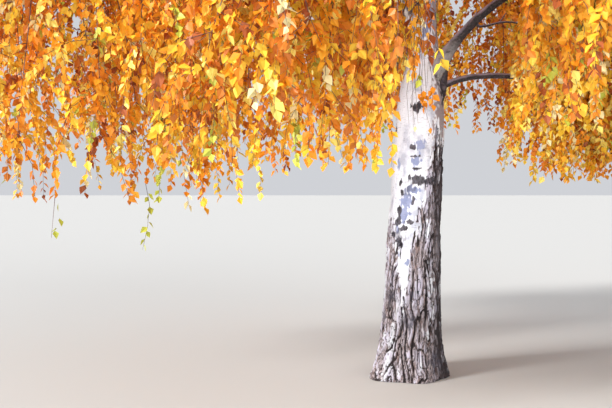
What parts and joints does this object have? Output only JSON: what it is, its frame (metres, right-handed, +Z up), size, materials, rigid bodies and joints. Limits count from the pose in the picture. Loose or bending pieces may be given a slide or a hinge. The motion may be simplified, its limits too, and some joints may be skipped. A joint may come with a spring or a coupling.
{
  "type": "silver birch tree",
  "caption": "Silver birch in autumn: a leaning white trunk with fissured bark at its foot, arching boughs and weeping masses of golden leaves.",
  "frame": {"origin": "middle of the trunk's flat cut at the ground", "axes": "+Z up the tree, +X to the right in the picture, towards which the trunk leans, +Y away from the camera"},
  "size_m": [7.3028, 6.8394, 11.9512],
  "materials": {
    "bark": "matt papery white bark, grey-brown and fissured towards the ground",
    "bough_bark": "satin dark brown bark",
    "leaf_gold": "satin golden autumn leaves",
    "leaf_orange": "satin orange autumn leaves",
    "leaf_lemon": "satin lemon-yellow autumn leaves"
  },
  "bodies": {
    "root": {"trunk": "bark", "bough_right_low": "bough_bark", "bough_right_high": "bough_bark", "bough_front_right": "bough_bark", "bough_front": "bough_bark", "bough_front_mid": "bough_bark", "bough_front_left": "bough_bark", "bough_left": "bough_bark", "bough_back_left": "bough_bark", "bough_back": "bough_bark", "bough_back_right": "bough_bark", "bough_left_high": "bough_bark", "bough_left_top": "bough_bark", "bough_leader": "bough_bark", "bough_crown_1": "bough_bark", "bough_crown_2": "bough_bark", "bough_crown_3": "bough_bark", "bough_crown_4": "bough_bark", "bough_crown_5": "bough_bark", "bough_crown_6": "bough_bark", "bough_crown_7": "bough_bark", "bough_crown_8": "bough_bark", "bough_crown_9": "bough_bark", "bough_crown_10": "bough_bark", "bough_crown_11": "bough_bark", "foliage_right_low": "leaf_gold", "foliage_right_high": "leaf_orange", "foliage_front_right": "leaf_lemon", "foliage_front": "leaf_gold", "foliage_front_mid": "leaf_orange", "foliage_front_left": "leaf_lemon", "foliage_left": "leaf_gold", "foliage_back_left": "leaf_orange", "foliage_back": "leaf_lemon", "foliage_back_right": "leaf_gold", "foliage_left_high": "leaf_orange", "foliage_left_top": "leaf_lemon", "foliage_leader": "leaf_gold", "foliage_crown_1": "leaf_orange", "foliage_crown_2": "leaf_lemon", "foliage_crown_3": "leaf_gold", "foliage_crown_4": "leaf_orange", "foliage_crown_5": "leaf_lemon", "foliage_crown_6": "leaf_gold", "foliage_crown_7": "leaf_orange", "foliage_crown_8": "leaf_lemon", "foliage_crown_9": "leaf_gold", "foliage_crown_10": "leaf_orange", "foliage_crown_11": "leaf_lemon", "foliage_crown_12": "leaf_gold", "foliage_crown_13": "leaf_orange", "foliage_crown_14": "leaf_lemon", "foliage_crown_15": "leaf_gold", "foliage_crown_16": "leaf_orange", "foliage_crown_17": "leaf_lemon", "foliage_crown_18": "leaf_gold", "foliage_crest": "leaf_orange"}
  },
  "joints": []
}
